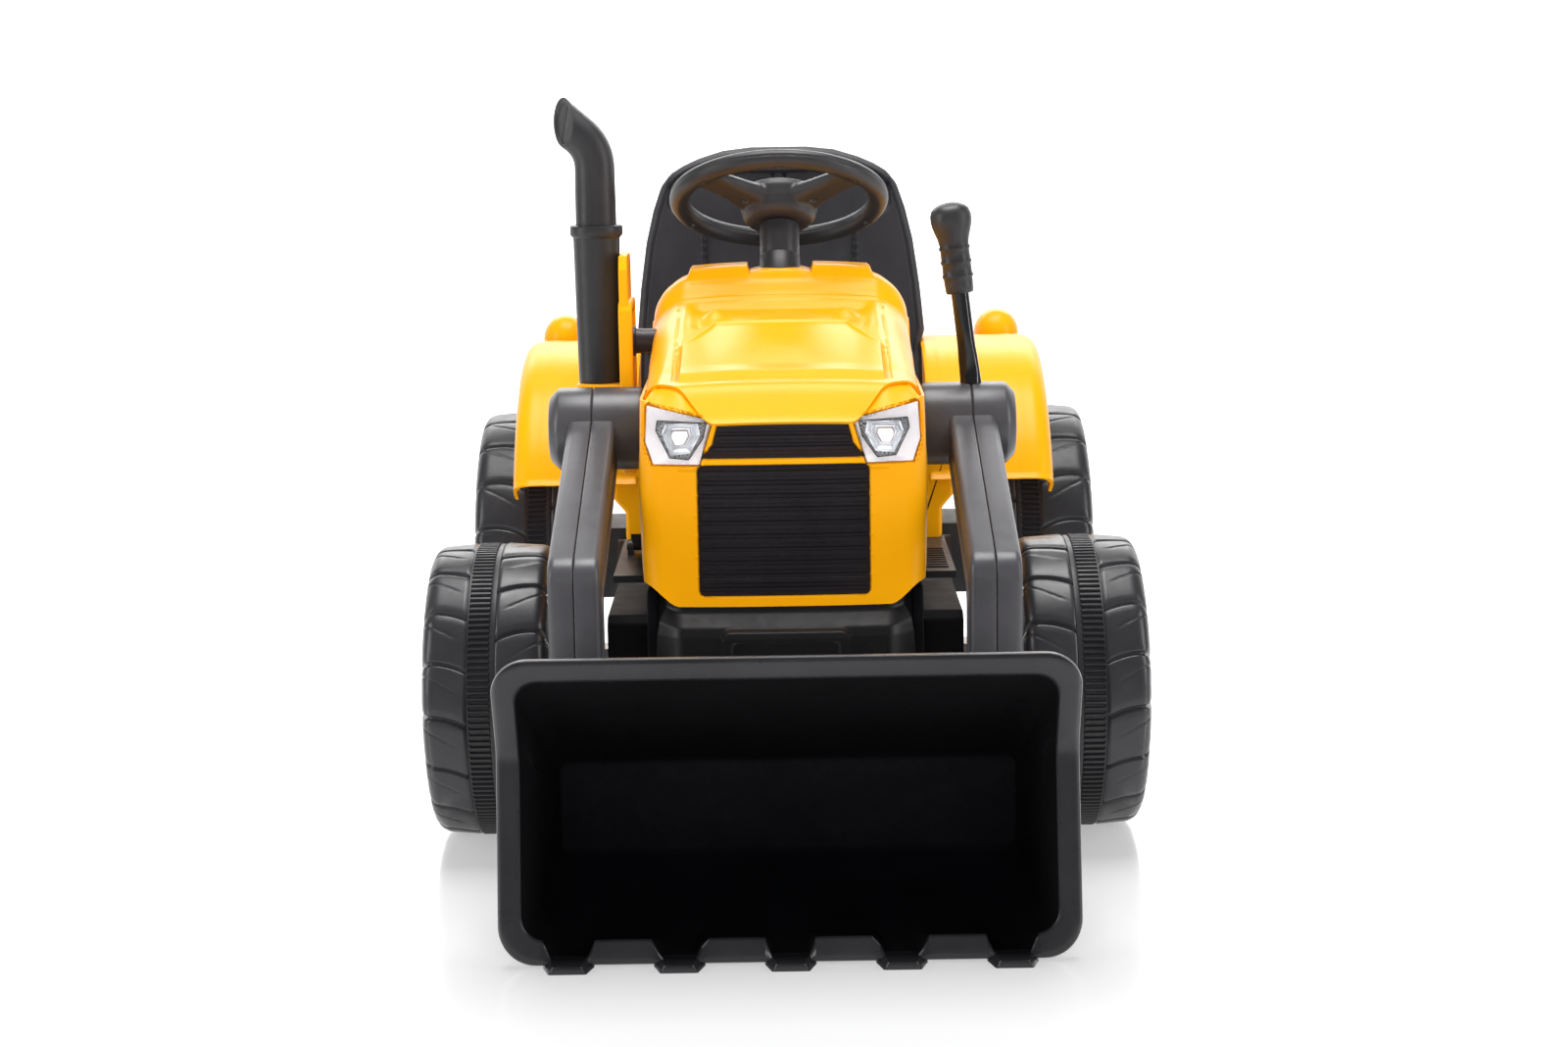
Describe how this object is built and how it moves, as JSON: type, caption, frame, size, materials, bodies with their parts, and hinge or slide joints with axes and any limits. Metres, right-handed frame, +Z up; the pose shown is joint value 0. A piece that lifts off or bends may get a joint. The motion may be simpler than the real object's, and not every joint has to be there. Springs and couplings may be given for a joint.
{
  "type": "ride-on digger",
  "caption": "Child's battery ride-on digger with a lifting front bucket, lift lever, steering wheel, moulded seat and spinning wheels.",
  "frame": {"origin": "on the floor under the centre of the bounding box", "axes": "-Y is the front where the bucket is, +X is the driver's left, +Z up"},
  "size_m": [0.657, 1.14, 0.6603],
  "materials": {
    "yellow_plastic": "gloss",
    "black_plastic": "fine moulded grain",
    "seat_plastic": "satin with fine grain",
    "grille_plastic": "satin",
    "tyre_plastic": "satin blow-moulded",
    "band_rubber": "matt ribbed",
    "clear_lens": "clear polished",
    "lamp_chrome": "polished",
    "led_core": "bright",
    "steel": "zinc plated",
    "black_steel": "gloss black",
    "drive_plastic": "satin",
    "battery_case": "satin",
    "cable": "satin"
  },
  "bodies": {
    "chassis": {"chassis_tub": "black_plastic", "front_bumper": "black_plastic", "hood": "yellow_plastic", "upper_grille": "grille_plastic", "lower_grille": "grille_plastic", "headlight_lens_left": "clear_lens", "headlight_lens_right": "clear_lens", "headlight_reflector_left": "lamp_chrome", "headlight_reflector_right": "lamp_chrome", "headlight_leds": "led_core", "dash_panel": "black_plastic", "charge_socket": "drive_plastic", "rear_body": "yellow_plastic", "rear_fender_left": "yellow_plastic", "rear_fender_right": "yellow_plastic", "seat": "seat_plastic", "exhaust_lower": "black_plastic", "exhaust_upper": "black_plastic", "exhaust_panel": "yellow_plastic", "steering_column": "black_plastic", "front_axle_beam": "steel", "rear_axle": "steel", "rear_axle_nuts": "steel", "gearbox_left": "drive_plastic", "gearbox_right": "drive_plastic", "drive_motors": "drive_plastic", "battery": "battery_case", "wiring_harness": "cable", "body_screws": "steel"},
    "loader_arms": {"arm_left_inner": "black_plastic", "arm_left_outer": "black_plastic", "arm_right_inner": "black_plastic", "arm_right_outer": "black_plastic", "cross_tube": "steel", "lift_lever": "black_steel", "lever_grip": "black_plastic", "arm_screws": "steel"},
    "bucket": {"bucket": "black_plastic", "bucket_pins": "steel"},
    "steering": {"steering_wheel_top": "black_plastic", "steering_wheel_back": "black_plastic", "steering_shaft": "steel"},
    "horn": {"horn_pad": "black_plastic"},
    "tie_rod": {"tie_rod": "steel"},
    "knuckle_left": {"knuckle_left": "steel"},
    "knuckle_right": {"knuckle_right": "steel"},
    "front_wheel_left": {"front_wheel_left": "tyre_plastic", "front_tread_band_left": "band_rubber", "front_hubcap_left": "tyre_plastic"},
    "front_wheel_right": {"front_wheel_right": "tyre_plastic", "front_tread_band_right": "band_rubber", "front_hubcap_right": "tyre_plastic"},
    "rear_wheel_left": {"rear_wheel_left": "tyre_plastic", "rear_tread_band_left": "band_rubber", "rear_hubcap_left": "tyre_plastic"},
    "rear_wheel_right": {"rear_wheel_right": "tyre_plastic", "rear_tread_band_right": "band_rubber", "rear_hubcap_right": "tyre_plastic"},
    "pedal": {"foot_pedal": "black_plastic"},
    "rocker": {"direction_rocker": "black_plastic"}
  },
  "joints": [
    {"name": "arm_lift", "type": "hinge", "parent": "chassis", "child": "loader_arms", "pos_m": [0, -0.06, 0.356], "axis": [-1, 0, 0], "range_deg": [0, 45]},
    {"name": "bucket_tilt", "type": "hinge", "parent": "loader_arms", "child": "bucket", "pos_m": [0, -0.3375, 0.088], "axis": [1, 0, 0], "range_deg": [-8, 40]},
    {"name": "steer", "type": "hinge", "parent": "chassis", "child": "steering", "pos_m": [0, 0.1, 0.558], "axis": [0, 0.4384, 0.8988], "range_deg": [-40, 40]},
    {"name": "horn_press", "type": "slide", "parent": "steering", "child": "horn", "axis": [0, -0.4384, -0.8988], "range_m": [0, 0.002], "stiffness_N_per_m": 400, "springref_m": -0.0015},
    {"name": "tie_rod_slide", "type": "slide", "parent": "chassis", "child": "tie_rod", "axis": [1, 0, 0], "range_m": [-0.025, 0.025]},
    {"name": "knuckle_left_turn", "type": "hinge", "parent": "chassis", "child": "knuckle_left", "pos_m": [0.185, -0.16, 0.1325], "axis": [0, 0, 1], "range_deg": [-20, 20]},
    {"name": "knuckle_right_turn", "type": "hinge", "parent": "chassis", "child": "knuckle_right", "pos_m": [-0.185, -0.16, 0.1325], "axis": [0, 0, 1], "range_deg": [-20, 20]},
    {"name": "front_wheel_left_spin", "type": "hinge", "parent": "knuckle_left", "child": "front_wheel_left", "pos_m": [0.265, -0.16, 0.1325], "axis": [1, 0, 0], "continuous": true},
    {"name": "rear_wheel_left_spin", "type": "hinge", "parent": "chassis", "child": "rear_wheel_left", "pos_m": [0.265, 0.38, 0.1575], "axis": [1, 0, 0], "continuous": true},
    {"name": "front_wheel_right_spin", "type": "hinge", "parent": "knuckle_right", "child": "front_wheel_right", "pos_m": [-0.265, -0.16, 0.1325], "axis": [1, 0, 0], "continuous": true},
    {"name": "rear_wheel_right_spin", "type": "hinge", "parent": "chassis", "child": "rear_wheel_right", "pos_m": [-0.265, 0.38, 0.1575], "axis": [1, 0, 0], "continuous": true},
    {"name": "pedal_press", "type": "hinge", "parent": "chassis", "child": "pedal", "pos_m": [-0.139, 0.104, 0.214], "axis": [1, 0, 0], "range_deg": [0, 12], "stiffness_Nm_per_rad": 1, "springref_deg": -3.44},
    {"name": "rocker_switch", "type": "hinge", "parent": "chassis", "child": "rocker", "pos_m": [0.07, 0.077, 0.4], "axis": [1, 0, 0], "range_deg": [-8, 8]}
  ],
  "couplings": [
    {"joint": "knuckle_left_turn", "follows": "steer", "ratio": 0.5},
    {"joint": "knuckle_right_turn", "follows": "steer", "ratio": 0.5},
    {"joint": "tie_rod_slide", "follows": "steer", "m_per_rad": -0.0355}
  ]
}
